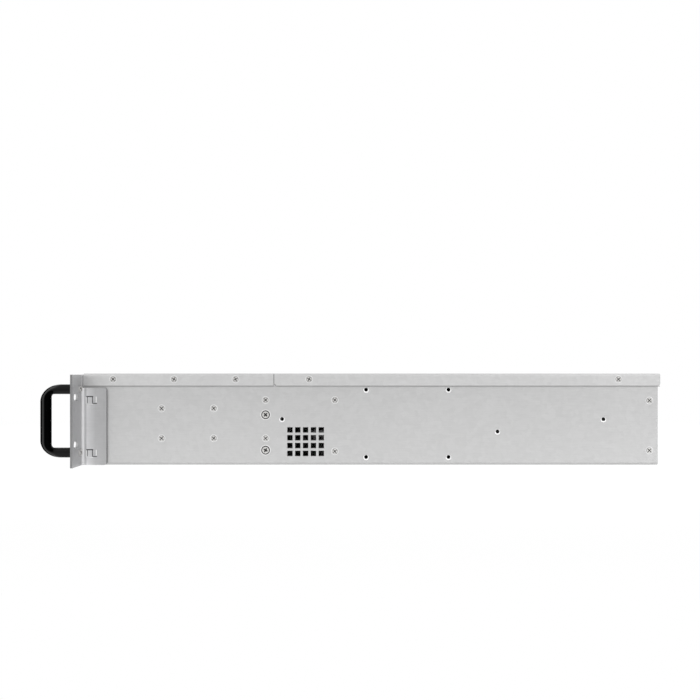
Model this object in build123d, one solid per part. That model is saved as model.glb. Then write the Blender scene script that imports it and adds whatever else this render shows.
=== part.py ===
from build123d import *
import os

# A two-unit rack server, in millimetres.
# X runs across the rack, +Y to the rear and +Z up. The front faces -Y.
# x = 0 is the middle, y = 0 is the back of the rack ears and z = 0 is the underside of the base.

# Overall sizes
rack_width = 482.6
ear_reach = 26.3
body_width = rack_width - 2 * ear_reach
body_depth = 550.0
side_height = 86.5
front_reach = 2.0
wall = 1.2
bend = 1.0
top_flange = 10.0
fit = 0.4

# Covers
cover_wall = 1.0
cover_flange = 12.1
cover_front = 0.8
cover_split = 182.7
cover_gap = 0.3
cover_overhang = 1.0
cover_lip = 5.8
cover_corner = 2.0

# Square vents in the side walls
vent_size = 5.1
vent_pitch = 7.5
vent_columns = 5
vent_front = 198.0
vent_top = 33.5
left_vent_rows = 2
right_vent_rows = 4

# Round holes in the side walls: distance back, height, diameter
left_holes = (
    (190.5, 44.0, 3.7),
    (313.2, 12.8, 3.7),
    (332.8, 43.2, 3.7),
    (388.5, 12.9, 4.2),
    (438.9, 43.4, 3.7),
    (472.7, 13.5, 3.7),
    (492.6, 43.2, 3.7),
)
right_holes = (
    (190.5, 44.0, 3.7),
    (270.9, 72.1, 3.7),
    (270.9, 7.6, 3.7),
    (349.8, 72.1, 3.7),
    (349.8, 7.6, 3.7),
    (396.7, 32.0, 3.7),
    (498.1, 43.8, 3.7),
)

# Rack ears and their slots
ear_wall = 2.0
ear_foot = 0.2
ear_drop = 0.1
ear_flange_depth = 23.2
ear_cover_gap = 1.6
ear_corner = 2.4
ear_bend = 2.5
rack_slot_inset = 8.75
rack_slot_spacing = rack_width - 2 * rack_slot_inset
rack_slot_height = 65.5
rack_slot_drop = 44.45
rack_slot_length = 10.0
rack_slot_width = 7.0

# Loop handle on the right ear
handle_reach = 35.0
handle_height = 69.2
handle_middle = 42.65
handle_bar = 9.0
handle_arm = 9.3
handle_corner = 11.4
handle_inside_corner = 3.0
handle_edge = 2.4
handle_offset = 7.4

# Front plate and control block on the left ear
plate_wall = 1.8
block_depth = 14.7
block_width = 23.4
block_inset = 1.0
block_foot = 1.2
block_height = 53.9
block_edge = 1.2
button_clear = 0.3
power_radius = 4.2
power_height = 46.5
power_travel = 1.0
reset_radius = 1.8
reset_height = 38.4
reset_travel = 1.0
button_proud = 1.2
button_stem = 5.0
socket_width = 5.6
socket_height = 13.4
socket_depth = 9.0
lower_socket_height = 12.0
upper_socket_gap = 2.2
tongue_thick = 2.0
tongue_inset = 1.5

# Window and clip in the left ear's flange
window_front = 2.7
window_width = 4.4
window_foot = 48.4
window_height = 7.9
clip_clear = 0.3
clip_proud = 1.0

# Cable duct on the left side
duct_proud = 9.3
duct_wall = 1.0
duct_height = 16.5
duct_rear = 225.0
duct_riser_depth = 19.5
duct_riser_height = 39.5
duct_notch = 3.0

# Drive bays
bay_rows = 3
bay_columns = 4
shelf_wall = 0.8
bay_head = 1.9
shelf_front = 1.0
shelf_depth = 158.0
shelf_flange = 8.0
divider_wall = 1.0

# Drive trays: one frame in front, two rails behind
tray_depth = 159.4
tray_rail = 1.2
tray_lip = 4.5
tray_floor = 0.8
tray_bridge = 12.0
bezel_depth = 10.0
bezel_side = 2.4
bezel_border = 1.6
bezel_web = 1.6
tray_rail_drop = 6.4
tray_window_side = 4.8

# Tray levers
lever_thick = 3.0
lever_clear = 0.4
lever_hinge_inset = 5.4
lever_hinge_end = 1.6
lever_latch_width = 12.0
lever_slots = 2
lever_slot_width = 28.0
lever_slot_pitch = 34.0
lever_slot_start = 11.0
lever_slot_height = 13.0
lever_grip_depth = 1.2

# Backplane and its bracket
backplane_front = 164.0
backplane_thick = 1.6
bracket_wall = 1.0
bracket_flange = 14.0
bracket_border = 8.0
connector_width = 34.0
connector_height = 6.0
connector_depth = 5.0
connector_lift = 3.0
board_inset = 2.0
air_window_width = 80.0
air_window_height = 12.0

# Fan wall and fans
fan_wall_front = 233.8
fan_wall_sheet = 1.0
fan_wall_flange = 14.0
fan_room = 4.1
fan_depth = 38.0
fan_border = 2.5
fan_count = 3
fan_pitch = 96.0
fan_middle = -24.0
fan_hub_radius = 16.0
fan_hub_depth = 26.0
fan_blades = 7
fan_blade_gap = 2.5
fan_blade_chord = 22.0
fan_blade_thick = 1.6
fan_blade_angle = 38.0
fan_strut = 4.0
fan_plate_depth = 3.0
fan_gap = 0.8
fan_sides = 12

# Main board
board_thick = 1.6
board_front_gap = 31.0
board_rear_gap = 1.0
board_left_gap = 37.8
board_right_gap = 6.7
standoff = 6.3
standoff_across = 6.0
standoff_edge = 10.0
socket_side = 62.0
socket_thick = 7.0
socket_rim = 12.0
socket_bed = 2.0
socket_inset = 85.0
socket_spacing = 140.0
memory_front_gap = 5.0
memory_rear_gap = 97.0
memory_width = 6.4
memory_tall = 8.0
memory_pitch = 9.6
memory_banks = 3
memory_gap = 7.0
fin_count = 8
fin_wall = 1.4
fin_height = 22.0
sink_side = 40.0
sink_base = 4.0
sink_inset = 105.0
sink_setback = 72.0
slot_count = 7
slot_long = 56.0
slot_rear = 38.0
slot_first = 7.0
slot_shield_gap = 1.13
slot_wide = 7.5
slot_tall = 11.0

# Rear panel
panel_flange = 14.0
port_width = 158.75
port_inset = 5.0
port_height = 44.45
port_foot = 5.3
shield_wall = 0.5
shield_border = 2.0
shield_clear = 0.5
ports_inset = 12.0
ports_width = 135.0
ports_depth = 24.0
ports_low = 15.0
ports_tall = 30.0
ports_tall_inset = 24.0
ports_tall_width = 36.0
port_wells = 4
port_well_width = 13.4
port_well_height = 6.0
port_well_depth = 12.0
port_well_gap = 4.0
slot_opening_gap = 7.92
slot_opening_head = 11.5
slot_opening_foot = 9.0
slot_cover_gap = 1.92
slot_cover_border = 3.0
slot_cover_head = 5.0
slot_cover_wall = 0.9
slot_tab = 10.0
bar_leg = 5.0
bar_wall = 1.0
panel_vent_height = 12.0
panel_vent_lift = 8.0
panel_vent_width = 12.0
panel_vent_pitch = 16.0
panel_vent_count = 9

# Power supply cage and modules
module_width = 73.5
module_head = 9.3
module_depth = 168.0
module_recess = 20.0
cage_room = 8.0
cage_wall = 0.8
module_clear = 0.4
module_travel = 160.0
inlet_width = 27.0
inlet_height = 20.0
inlet_depth = 14.0
inlet_side = 8.0
bail_gap = 3.0
bail_width = 24.0
bail_reach = 18.0
bail_bar = 4.0
bail_tall = 6.0
latch_side = 2.0
latch_width = 5.0
latch_height = 22.0
latch_thick = 3.0

# Places that follow from the sizes above
half_body = body_width / 2
inside = half_body - wall
front = -front_reach
cover_top = side_height + cover_wall
ear_height = side_height - ear_drop - ear_foot
ear_flange_height = cover_top - cover_flange - ear_cover_gap - ear_foot
row_pitch = (side_height - bay_head) / bay_rows
row_clear = row_pitch - shelf_wall
tray_height = row_clear - 2 * fit
bay_edge = inside - shelf_wall + divider_wall / 2
column_pitch = 2 * bay_edge / bay_columns
tray_width = column_pitch - divider_wall - 2 * fit
panel_inner = body_depth - wall
inner_foot = wall + bend
inner_top = side_height - wall
cage_right = inside - wall - bend
cage_left = cage_right - module_width - 2 * module_clear - 2 * cage_wall
board_right = cage_left - board_right_gap
board_left = -inside + board_left_gap
board_width = board_right - board_left
board_foot = wall + standoff
board_rear = panel_inner - board_rear_gap
board_front = fan_wall_front + fan_wall_sheet + fan_depth + board_front_gap
board_depth = board_rear - board_front
fan_size = side_height - 2 * wall - fan_room
fan_bore = fan_size - 2 * fan_border
fan_blade_reach = fan_bore / 2 - fan_blade_gap
memory_length = board_depth - memory_front_gap - memory_rear_gap
port_right = board_right - port_inset
slot_room = port_right - port_width - shield_border - slot_shield_gap - board_left
slot_pitch = (slot_room - slot_first + slot_cover_gap / 2) / (slot_count - 0.5)
slot_opening = slot_pitch - slot_opening_gap
slot_opening_height = side_height - slot_opening_head - slot_opening_foot
slot_cover_width = slot_pitch - slot_cover_gap
slot_cover_height = slot_opening_height + slot_cover_border + slot_cover_head
module_height = (side_height - module_head) / 2
left_ear_front = -ear_wall - plate_wall
block_front = left_ear_front - block_depth
block_x = -rack_width / 2 + block_inset + block_width / 2
slot_x = rack_slot_spacing / 2


def block(x0, x1, y0, y1, z0, z1):
    """A box between two opposite corners."""
    size = Box(abs(x1 - x0), abs(y1 - y0), abs(z1 - z0))
    return Pos((x0 + x1) / 2, (y0 + y1) / 2, (z0 + z1) / 2) * size


def along_x(section, x0, x1):
    """A section drawn with y across and z up, pushed from x0 to x1."""
    plane = Plane((x0, 0, 0), x_dir=(0, 1, 0), z_dir=(1, 0, 0))
    return extrude(plane * section, x1 - x0)


def along_y(section, y0, y1):
    """A section drawn with x across and z up, pushed from y0 to y1."""
    plane = Plane((0, y1, 0), x_dir=(1, 0, 0), z_dir=(0, -1, 0))
    return extrude(plane * section, y1 - y0)


def along_z(section, z0, z1):
    """A section drawn with x and y, pushed from z0 to z1."""
    return extrude(Plane((0, 0, z0)) * section, z1 - z0)


def folded(points, sheet):
    """The section of a sheet folded along its middle line, with the same inside radius at each fold."""
    line = FilletPolyline(*points, radius=bend + sheet / 2)
    return trace(line, line_width=sheet)


def creased(points, sheet):
    """The section of a sheet folded sharply along its middle line."""
    return trace(Polyline(*points), line_width=sheet)


def rod_x(radius, x0, x1, y, z):
    """A round bar along X."""
    return along_x(Pos(y, z) * Circle(radius), x0, x1)


def rod_y(radius, y0, y1, x, z):
    """A round bar along Y."""
    return along_y(Pos(x, z) * Circle(radius), y0, y1)


def drum_y(radius, y0, y1, x, z):
    """A many-sided bar along Y, with its flats at the radius."""
    return along_y(Pos(x, z) * RegularPolygon(radius, fan_sides, major_radius=False), y0, y1)


def write(name, shape):
    """One STEP file for one piece, or for one group of like pieces."""
    solids = shape.solids() if hasattr(shape, "solids") else [s for one in shape for s in one.solids()]
    made = solids[0] if len(solids) == 1 else Compound(children=list(solids))
    made.label = name
    export_step(made, f"parts/{name}.step")


def side_holes(places, side):
    """Round holes through one side wall."""
    across = sorted((side * (inside - 1), side * (half_body + 1)))
    return [rod_x(size / 2, across[0], across[1], y, z) for y, z, size in places]


def side_vents(rows, side):
    """Square vents through one side wall, in columns from the front and rows from the top."""
    half = vent_size / 2
    cuts = []
    for column in range(vent_columns):
        for row in range(rows):
            y = vent_front + column * vent_pitch
            z = vent_top - row * vent_pitch
            across = (side * (inside - 1), side * (half_body + 1))
            cuts.append(block(*across, y - half, y + half, z - half, z + half))
    return cuts


def chassis_tub():
    """Base and side walls, folded from one sheet, with a flange turned in along the top of each wall."""
    edge = half_body - wall / 2
    trough = folded([(-edge, side_height), (-edge, wall / 2), (edge, wall / 2), (edge, side_height)], wall)
    tub = along_y(trough, front, body_depth)
    for side in (-1, 1):
        across = (side * (half_body - top_flange), side * (inside + wall / 2))
        tub += block(*across, front, body_depth, side_height - wall, side_height)
    outer = [e for e in tub.edges().filter_by(Axis.Y) if e.center().Z > side_height - bend / 2]
    tub = chamfer([e for e in outer if abs(e.center().X) > half_body - bend / 2], bend)
    cuts = side_holes(left_holes, -1) + side_holes(right_holes, 1)
    cuts += side_vents(left_vent_rows, -1) + side_vents(right_vent_rows, 1)
    return tub - cuts


def cover_section():
    """The section of both covers: a flat top with a flange down each side."""
    edge = half_body + cover_wall / 2
    top = side_height + cover_wall / 2
    foot = cover_top - cover_flange
    return folded([(-edge, foot), (-edge, top), (edge, top), (edge, foot)], cover_wall)


def front_cover():
    """The short cover over the drive bays, from the ears back to the split."""
    return along_y(cover_section(), cover_front, cover_split - cover_gap / 2)


def rear_cover():
    """The long cover behind it, which hangs over the rear panel and ends in a lip turned down."""
    end = body_depth + cover_overhang + cover_wall
    sheet = along_y(cover_section(), cover_split + cover_gap / 2, end)
    low = sheet.edges().filter_by(Axis.X).group_by(Axis.Z)[0]
    sheet = chamfer(low.filter_by(lambda e: e.center().Y > body_depth), cover_corner)
    lip = block(-half_body, half_body, end - cover_wall, end, cover_top - cover_lip, side_height)
    return sheet + lip


def ear_fold(side):
    """The inside of an ear's fold: a square corner less a circle that touches the plate and the flange."""
    corner = half_body + ear_wall
    square = Pos(side * (corner + ear_bend / 2), ear_bend / 2) * Rectangle(ear_bend, ear_bend)
    section = square - Pos(side * (corner + ear_bend), ear_bend) * Circle(ear_bend)
    return along_z(section, ear_foot, ear_foot + ear_flange_height)


def ear_blank(side, plate_front):
    """A folded rack ear: a plate in front, a flange against the side wall and a relief for the cover.
    The fold between them is rounded inside."""
    edge = half_body + ear_wall
    plate = block(side * half_body, side * rack_width / 2, plate_front, 0, ear_foot, ear_foot + ear_height)
    profile = Pos(ear_flange_depth / 2, ear_foot + ear_flange_height / 2) * Rectangle(
        ear_flange_depth, ear_flange_height
    )
    corners = profile.vertices().group_by(Axis.X)[-1]
    profile = fillet(corners, ear_corner)
    flange = along_x(profile, min(side * half_body, side * edge), max(side * half_body, side * edge))
    top = ear_foot + ear_flange_height
    relief = block(side * (half_body - 1), side * edge, plate_front - 1, 1, top, cover_top + 1)
    return plate + flange + ear_fold(side) - relief


def rack_slot(side, height, front_face):
    """The oblong hole that a rack screw goes through."""
    slot = SlotOverall(rack_slot_length, rack_slot_width)
    return along_y(Pos(side * slot_x, height) * slot, front_face - 1, 1)


def right_ear():
    """The right ear, with two rack slots and two holes for the handle's screws."""
    ear = ear_blank(1, -ear_wall)
    holes = [rack_slot(1, z, -ear_wall) for z in (rack_slot_height, rack_slot_height - rack_slot_drop)]
    return ear - holes


def left_ear():
    """The left ear, with one rack slot and a small window in its flange."""
    ear = ear_blank(-1, -ear_wall)
    window = block(
        -half_body + 1,
        -half_body - ear_wall - 1,
        window_front,
        window_front + window_width,
        window_foot,
        window_foot + window_height,
    )
    return ear - [rack_slot(-1, rack_slot_height, -ear_wall), window]


def control_plate():
    """The pale plate in front of the left ear, which carries the control block."""
    plate = block(
        -half_body,
        -rack_width / 2,
        left_ear_front,
        -ear_wall,
        ear_foot,
        ear_foot + ear_height,
    )
    return plate - rack_slot(-1, rack_slot_height, left_ear_front)


def button_cut(radius, height, travel):
    """The hole that a button slides in, as deep as its stem and its travel."""
    end = block_front + button_stem + travel + button_clear
    return rod_y(radius + button_clear, block_front - button_proud, end, block_x, height)


def socket_cut(foot):
    """An upright data socket in the control block."""
    half = socket_width / 2
    return block(
        block_x - half,
        block_x + half,
        block_front - 1,
        block_front + socket_depth,
        foot,
        foot + socket_height,
    )


def control_block():
    """The moulded block on the left ear that holds the buttons, lamps and sockets."""
    half = block_width / 2
    body = block(
        block_x - half,
        block_x + half,
        block_front,
        left_ear_front,
        block_foot,
        block_foot + block_height,
    )
    body = chamfer(body.faces().sort_by(Axis.Y)[0].edges(), block_edge)
    holes = [
        button_cut(power_radius, power_height, power_travel),
        button_cut(reset_radius, reset_height, reset_travel),
    ]
    sockets = [socket_cut(foot) for foot in socket_feet()]
    return body - holes - sockets + socket_tongues()


def socket_feet():
    """The lowest point of each of the two sockets, one above the other."""
    first = lower_socket_height - socket_height / 2
    return first, first + socket_height + upper_socket_gap


def socket_tongues():
    """The flat tongue that stands in each socket."""
    half = socket_width / 2
    tongues = []
    for foot in socket_feet():
        tongues.append(
            block(
                block_x - half,
                block_x - half + tongue_thick,
                block_front + tongue_inset,
                block_front + socket_depth,
                foot + tongue_inset,
                foot + socket_height - tongue_inset,
            )
        )
    return tongues


def button(radius, height):
    """A round button with its face proud of the block."""
    return rod_y(radius, block_front - button_proud, block_front + button_stem, block_x, height)


def handle_profile():
    """The loop handle seen from the side: a rounded U that opens on to the ear."""
    back = -ear_wall
    tip = back - handle_reach
    half = handle_height / 2
    outer = Pos((back + tip) / 2, handle_middle) * Rectangle(handle_reach, handle_height)
    outer = fillet(outer.vertices().group_by(Axis.X)[0], handle_corner)
    gap_tip = tip + handle_bar
    gap_back = back + handle_corner
    gap = Pos((gap_tip + gap_back) / 2, handle_middle) * Rectangle(
        gap_back - gap_tip, 2 * (half - handle_arm)
    )
    gap = fillet(gap.vertices().group_by(Axis.X)[0], handle_inside_corner)
    return outer - gap


def right_handle():
    """The moulded loop handle, with its long edges rounded."""
    x = half_body + handle_offset
    bar = along_x(handle_profile(), x - handle_bar / 2, x + handle_bar / 2)
    faces = bar.faces().filter_by(Axis.X)
    edges = [e for face in faces for e in face.edges() if e.bounding_box().min.Y < -ear_wall - 0.1]
    return chamfer(edges, handle_edge)


def duct_outline(proud):
    """The duct seen from the side: a long low strip with a riser at the ear."""
    strip = Pos(duct_rear / 2, duct_height / 2) * Rectangle(duct_rear, duct_height)
    riser = Pos(duct_riser_depth / 2, duct_riser_height / 2) * Rectangle(duct_riser_depth, duct_riser_height)
    return along_x(strip + riser, -half_body - proud, -half_body)


def cable_duct():
    """The folded cover on the left side that hides the lead from the control block."""
    shell = duct_outline(duct_proud)
    inner_strip = block(
        -half_body - duct_proud + duct_wall,
        -half_body + 1,
        -1,
        duct_rear - duct_wall,
        duct_wall,
        duct_height - duct_wall,
    )
    inner_riser = block(
        -half_body - duct_proud + duct_wall,
        -half_body + 1,
        -1,
        duct_riser_depth - duct_wall,
        duct_wall,
        duct_riser_height - duct_wall,
    )
    notch = block(
        -half_body - duct_proud + duct_wall,
        -half_body + 1,
        duct_riser_depth - duct_notch,
        duct_riser_depth + 1,
        duct_height - duct_wall,
        duct_height + duct_notch,
    )
    seat = block(
        -half_body - ear_wall,
        -half_body + 1,
        -1,
        ear_flange_depth,
        ear_foot,
        ear_foot + ear_flange_height,
    )
    corner = block(-half_body - ear_wall - ear_bend, -half_body, -1, ear_bend, -1, duct_riser_height + 1)
    return shell - [inner_strip, inner_riser, notch, seat, corner]


def ear_clip():
    """The small dark clip in the left ear's window."""
    return block(
        -half_body,
        -half_body - ear_wall - clip_proud,
        window_front + clip_clear,
        window_front + window_width - clip_clear,
        window_foot + clip_clear,
        window_foot + window_height - clip_clear,
    )


def drive_shelves():
    """Two shelves across the bays, each with a flange turned down at both sides."""
    edge = inside - shelf_wall / 2
    shelves = []
    for row in range(1, bay_rows):
        top = wall + row * row_pitch - shelf_wall / 2
        foot = top - shelf_flange
        section = creased([(-edge, foot), (-edge, top), (edge, top), (edge, foot)], shelf_wall)
        shelves.append(along_y(section, shelf_front, shelf_front + shelf_depth))
    return shelves


def bay_dividers():
    """Upright plates between the bays, one for each row and gap."""
    plates = []
    for column in range(1, bay_columns):
        x = -bay_edge + column * column_pitch
        for row in range(bay_rows):
            z = wall + row * row_pitch
            plates.append(
                block(
                    x - divider_wall / 2,
                    x + divider_wall / 2,
                    shelf_front,
                    shelf_front + shelf_depth,
                    z,
                    z + row_clear,
                )
            )
    return plates


def bay_corner(column, row):
    """The middle of a tray's width and its underside."""
    x = -bay_edge + (column + 0.5) * column_pitch
    return x, wall + row * row_pitch + fit


def tray_blank():
    """A drive tray about x = 0 and z = 0: a front frame, two rails with lips and a bridge at the rear."""
    half = tray_width / 2
    frame = block(-half, half, front, front + bezel_depth, 0, tray_height)
    pocket = block(
        -half + bezel_side,
        half - bezel_side,
        front - 1,
        front + bezel_depth - bezel_web,
        bezel_border,
        tray_height - bezel_border,
    )
    air = block(
        -half + tray_window_side,
        half - lever_latch_width,
        front,
        front + bezel_depth + 1,
        tray_window_side,
        tray_height - tray_window_side,
    )
    start = front + bezel_depth
    end = front + tray_depth
    rails = []
    for side in (-1, 1):
        top = tray_height - tray_rail_drop
        rails.append(block(side * half, side * (half - tray_rail), start, end, 0, top))
        rails.append(block(side * half, side * (half - tray_lip), start, end, 0, tray_floor))
    bridge = block(-half, half, end - tray_bridge, end, 0, tray_floor)
    return frame - pocket - air + rails + bridge


def lever_blank():
    """A tray's front lever about x = 0 and z = 0: a slotted bar with a finger groove at its free end."""
    hinge = -tray_width / 2 + lever_hinge_inset
    left = hinge - lever_hinge_end
    right = tray_width / 2 - bezel_side - lever_clear
    foot = bezel_border + lever_clear
    bar = block(left, right, front, front + lever_thick, foot, tray_height - foot)
    cuts = []
    middle = tray_height / 2
    for slot in range(lever_slots):
        x = hinge + lever_slot_start + lever_slot_pitch * slot
        cuts.append(
            block(
                x,
                x + lever_slot_width,
                front - 1,
                front + lever_thick + 1,
                middle - lever_slot_height / 2,
                middle + lever_slot_height / 2,
            )
        )
    groove = block(
        right - lever_latch_width,
        right - lever_latch_width / 2,
        front - 1,
        front + lever_grip_depth,
        foot - 1,
        tray_height - foot + 1,
    )
    return bar - cuts - groove


def backplane():
    """The board that the drives plug into, with one connector for each bay and a row of windows for air."""
    y = backplane_front
    back = y + backplane_thick
    board = block(-inside + board_inset, inside - board_inset, y, back, inner_foot, inner_top - fit)
    pieces = []
    windows = []
    for column in range(bay_columns):
        for row in range(bay_rows):
            x, z = bay_corner(column, row)
            left = x - connector_width / 2
            foot = z + connector_lift
            pieces.append(
                block(left, left + connector_width, y - connector_depth, y, foot, foot + connector_height)
            )
        left = x - air_window_width / 2
        foot = bay_corner(column, 1)[1] + connector_lift + connector_height + connector_lift
        windows.append(block(left, left + air_window_width, y - 1, back + 1, foot, foot + air_window_height))
    return board - windows + pieces


def backplane_bracket():
    """The folded frame behind the backplane, fixed through both side walls."""
    y = backplane_front + backplane_thick
    edge = inside - bracket_wall / 2
    plate = y + bracket_wall / 2
    end = y + bracket_flange
    section = creased([(-edge, end), (-edge, plate), (edge, plate), (edge, end)], bracket_wall)
    frame = along_z(section, inner_foot, inner_top)
    cuts = []
    for column in range(bay_columns):
        x = -bay_edge + (column + 0.5) * column_pitch
        cuts.append(
            block(
                x - column_pitch / 2 + bracket_border,
                x + column_pitch / 2 - bracket_border,
                y - 1,
                y + bracket_wall + 1,
                inner_foot + bracket_border,
                inner_top - bracket_border,
            )
        )
    return frame - cuts


def fan_places():
    """The middle of each fan across the case."""
    first = fan_middle - fan_pitch * (fan_count - 1) / 2
    return [first + fan_pitch * number for number in range(fan_count)]


fan_height = wall + (side_height - 2 * wall) / 2


def fan_wall():
    """The plate that the fans are fixed to, fixed through both side walls."""
    y = fan_wall_front
    edge = inside - fan_wall_sheet / 2
    plate = y + fan_wall_sheet / 2
    end = y + fan_wall_flange
    section = creased([(-edge, end), (-edge, plate), (edge, plate), (edge, end)], fan_wall_sheet)
    sheet = along_z(section, inner_foot, inner_top)
    half = fan_bore / 2
    cuts = []
    for x in fan_places():
        back = y + fan_wall_sheet + 1
        cuts.append(block(x - half, x + half, y - 1, back, fan_height - half, fan_height + half))
    return sheet - cuts


def fan_frames():
    """The square frames of the fans, each with a round bore, a strut and a plate for the motor."""
    start = fan_wall_front + fan_wall_sheet
    end = start + fan_depth
    half = fan_size / 2
    frames = []
    for x in fan_places():
        frame = block(x - half, x + half, start, end, fan_height - half, fan_height + half)
        frame = frame - drum_y(fan_bore / 2, start - 1, end + 1, x, fan_height)
        plate = drum_y(fan_hub_radius, end - fan_plate_depth, end, x, fan_height)
        side = fan_strut / 2
        strut = block(x - side, x + side, end - fan_plate_depth, end, fan_height - half, fan_height + half)
        frames.append(frame + plate + strut)
    return frames


def fan_rotor(x):
    """A fan's hub with its blades set at an angle around it."""
    end = fan_wall_front + fan_wall_sheet + fan_depth - fan_plate_depth - fan_gap
    start = end - fan_hub_depth
    hub = drum_y(fan_hub_radius, start, end, 0, 0)
    root = fan_hub_radius - fan_blade_thick
    blade = block(
        -fan_blade_thick / 2,
        fan_blade_thick / 2,
        -fan_blade_chord / 2,
        fan_blade_chord / 2,
        root,
        fan_blade_reach,
    )
    blade = Rot(0, 0, fan_blade_angle) * blade
    middle = (start + end) / 2
    blades = [Rot(0, 360 / fan_blades * number, 0) * blade for number in range(fan_blades)]
    placed = [Pos(0, middle, 0) * one for one in blades]
    return Pos(x, 0, fan_height) * (hub + placed)


def motherboard():
    """The main board."""
    return block(board_left, board_right, board_front, board_rear, board_foot, board_foot + board_thick)


def board_standoffs():
    """Nine standoffs between the base and the main board."""
    studs = []
    edge = standoff_edge
    for x in (board_right - edge, board_right - board_width / 2, board_left + edge):
        for y in (board_rear - edge, board_rear - board_depth / 2, board_front + edge):
            hexagon = RegularPolygon(standoff_across / 2, 6, major_radius=False)
            studs.append(along_z(Pos(x, y) * hexagon, wall, board_foot))
    return studs


board_top = board_foot + board_thick
socket_y = board_front + memory_front_gap + memory_length / 2
socket_x = (board_right - socket_inset, board_right - socket_inset - socket_spacing)


def processor_sockets():
    """Two processor sockets, each a square frame with an open middle."""
    frames = []
    half = socket_side / 2
    inner = half - socket_rim
    top = board_top + socket_thick
    foot = board_top + socket_bed
    for x in socket_x:
        frame = block(x - half, x + half, socket_y - half, socket_y + half, board_top, top)
        well = block(x - inner, x + inner, socket_y - inner, socket_y + inner, foot, foot + socket_thick)
        frames.append(frame - well)
    return frames


def memory_slots():
    """Long memory slots on both sides of each processor socket."""
    slots = []
    y0 = socket_y - memory_length / 2
    for x in socket_x:
        for side in (-1, 1):
            for number in range(memory_banks):
                middle = x + side * (socket_side / 2 + memory_gap + number * memory_pitch)
                left = middle - memory_width / 2
                right = left + memory_width
                top = board_top + memory_tall
                slots.append(block(left, right, y0, y0 + memory_length, board_top, top))
    return slots


def slot_places():
    """The middle of each expansion slot across the case."""
    first = board_left + slot_first
    return [first + slot_pitch * number for number in range(slot_count)]


def expansion_slots():
    """The expansion slots on the main board."""
    end = board_rear - slot_rear
    half = slot_wide / 2
    top = board_top + slot_tall
    return [block(x - half, x + half, end - slot_long, end, board_top, top) for x in slot_places()]


def heat_sink():
    """A finned heat sink on the main board."""
    left = board_right - sink_inset - sink_side / 2
    y0 = board_rear - sink_setback - sink_side / 2
    y1 = y0 + sink_side
    base = block(left, left + sink_side, y0, y1, board_top, board_top + sink_base)
    fins = []
    for number in range(fin_count):
        x = left + number * (sink_side - fin_wall) / (fin_count - 1)
        fins.append(block(x, x + fin_wall, y0, y1, board_top, board_top + sink_base + fin_height))
    return base + fins


def low_ports(clear, y0, y1):
    """The low stretch of the rear connectors, grown by a clearance."""
    right = board_right - ports_inset
    top = board_top + ports_low
    return block(right - ports_width - clear, right + clear, y0, y1, board_top, top + clear)


def tall_ports(clear, y0, y1):
    """The tall stretch of the rear connectors, grown by a clearance."""
    right = board_right - ports_inset - ports_tall_inset
    top = board_top + ports_tall
    return block(right - ports_tall_width - clear, right + clear, y0, y1, board_top, top + clear)


def rear_ports():
    """The block of connectors at the main board's rear edge, with a row of open sockets."""
    y0 = board_rear - ports_depth
    body = low_ports(0, y0, board_rear) + tall_ports(0, y0, board_rear)
    wells = []
    first = board_right - ports_inset - ports_width + port_well_gap
    foot = board_top + port_well_gap
    for number in range(port_wells):
        x = first + number * (port_well_width + port_well_gap)
        inner = board_rear - port_well_depth
        wells.append(block(x, x + port_well_width, inner, body_depth, foot, foot + port_well_height))
    return body - wells


def rear_panel():
    """The rear panel, with openings for connectors, cards and power modules, and a flange at each side."""
    edge = inside - wall / 2
    plate = body_depth - wall / 2
    start = body_depth - panel_flange
    section = creased([(-edge, start), (-edge, plate), (edge, plate), (edge, start)], wall)
    sheet = along_z(section, inner_foot, inner_top)
    cuts = [
        block(
            port_right - port_width,
            port_right,
            panel_inner - 1,
            body_depth + 1,
            port_foot,
            port_foot + port_height,
        )
    ]
    for x in slot_places():
        half = slot_opening / 2
        cuts.append(
            block(
                x - half,
                x + half,
                panel_inner - 1,
                body_depth + 1,
                slot_opening_foot,
                slot_opening_foot + slot_opening_height,
            )
        )
    cuts.append(
        block(
            cage_left + cage_wall,
            cage_right - cage_wall,
            panel_inner - 1,
            body_depth + 1,
            wall,
            cage_top - cage_wall,
        )
    )
    for number in range(panel_vent_count):
        x = port_right - number * panel_vent_pitch
        foot = port_foot + port_height + panel_vent_lift
        cuts.append(
            block(
                x - panel_vent_width,
                x,
                panel_inner - 1,
                body_depth + 1,
                foot,
                foot + panel_vent_height,
            )
        )
    return sheet - cuts


def io_shield():
    """The thin plate round the rear connectors, inside the rear panel."""
    right = port_right + shield_border
    left = port_right - port_width - shield_border
    foot = port_foot - shield_border
    top = port_foot + port_height + shield_border
    inner = panel_inner - shield_wall
    plate = block(left, right, inner, panel_inner, foot, top)
    low = low_ports(shield_clear, inner - 1, panel_inner + 1)
    tall = tall_ports(shield_clear, inner - 1, panel_inner + 1)
    return plate - low - tall


def slot_covers():
    """Blank covers over the card openings, each with a tab bent in at the top."""
    covers = []
    foot = slot_opening_foot - slot_cover_border
    top = foot + slot_cover_height
    for x in slot_places():
        half = slot_cover_width / 2
        plate = block(x - half, x + half, panel_inner - slot_cover_wall, panel_inner, foot, top)
        tab = block(x - half, x + half, panel_inner - slot_tab, panel_inner, top - slot_cover_wall, top)
        covers.append(plate + tab)
    return covers


def slot_bar():
    """The folded bar that holds the tabs of the slot covers."""
    places = slot_places()
    foot = slot_opening_foot - slot_cover_border + slot_cover_height
    leg = panel_inner - bar_wall
    x0 = places[0] - slot_cover_width / 2
    x1 = places[-1] + slot_cover_width / 2
    level = block(x0, x1, panel_inner - slot_tab, panel_inner, foot, foot + bar_wall)
    upright = block(x0, x1, leg, panel_inner, foot, foot + bar_leg)
    return level + upright


def module_foot(number):
    """The underside of a power module."""
    return wall + module_clear + number * (module_height + 2 * module_clear + cage_wall)


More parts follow.
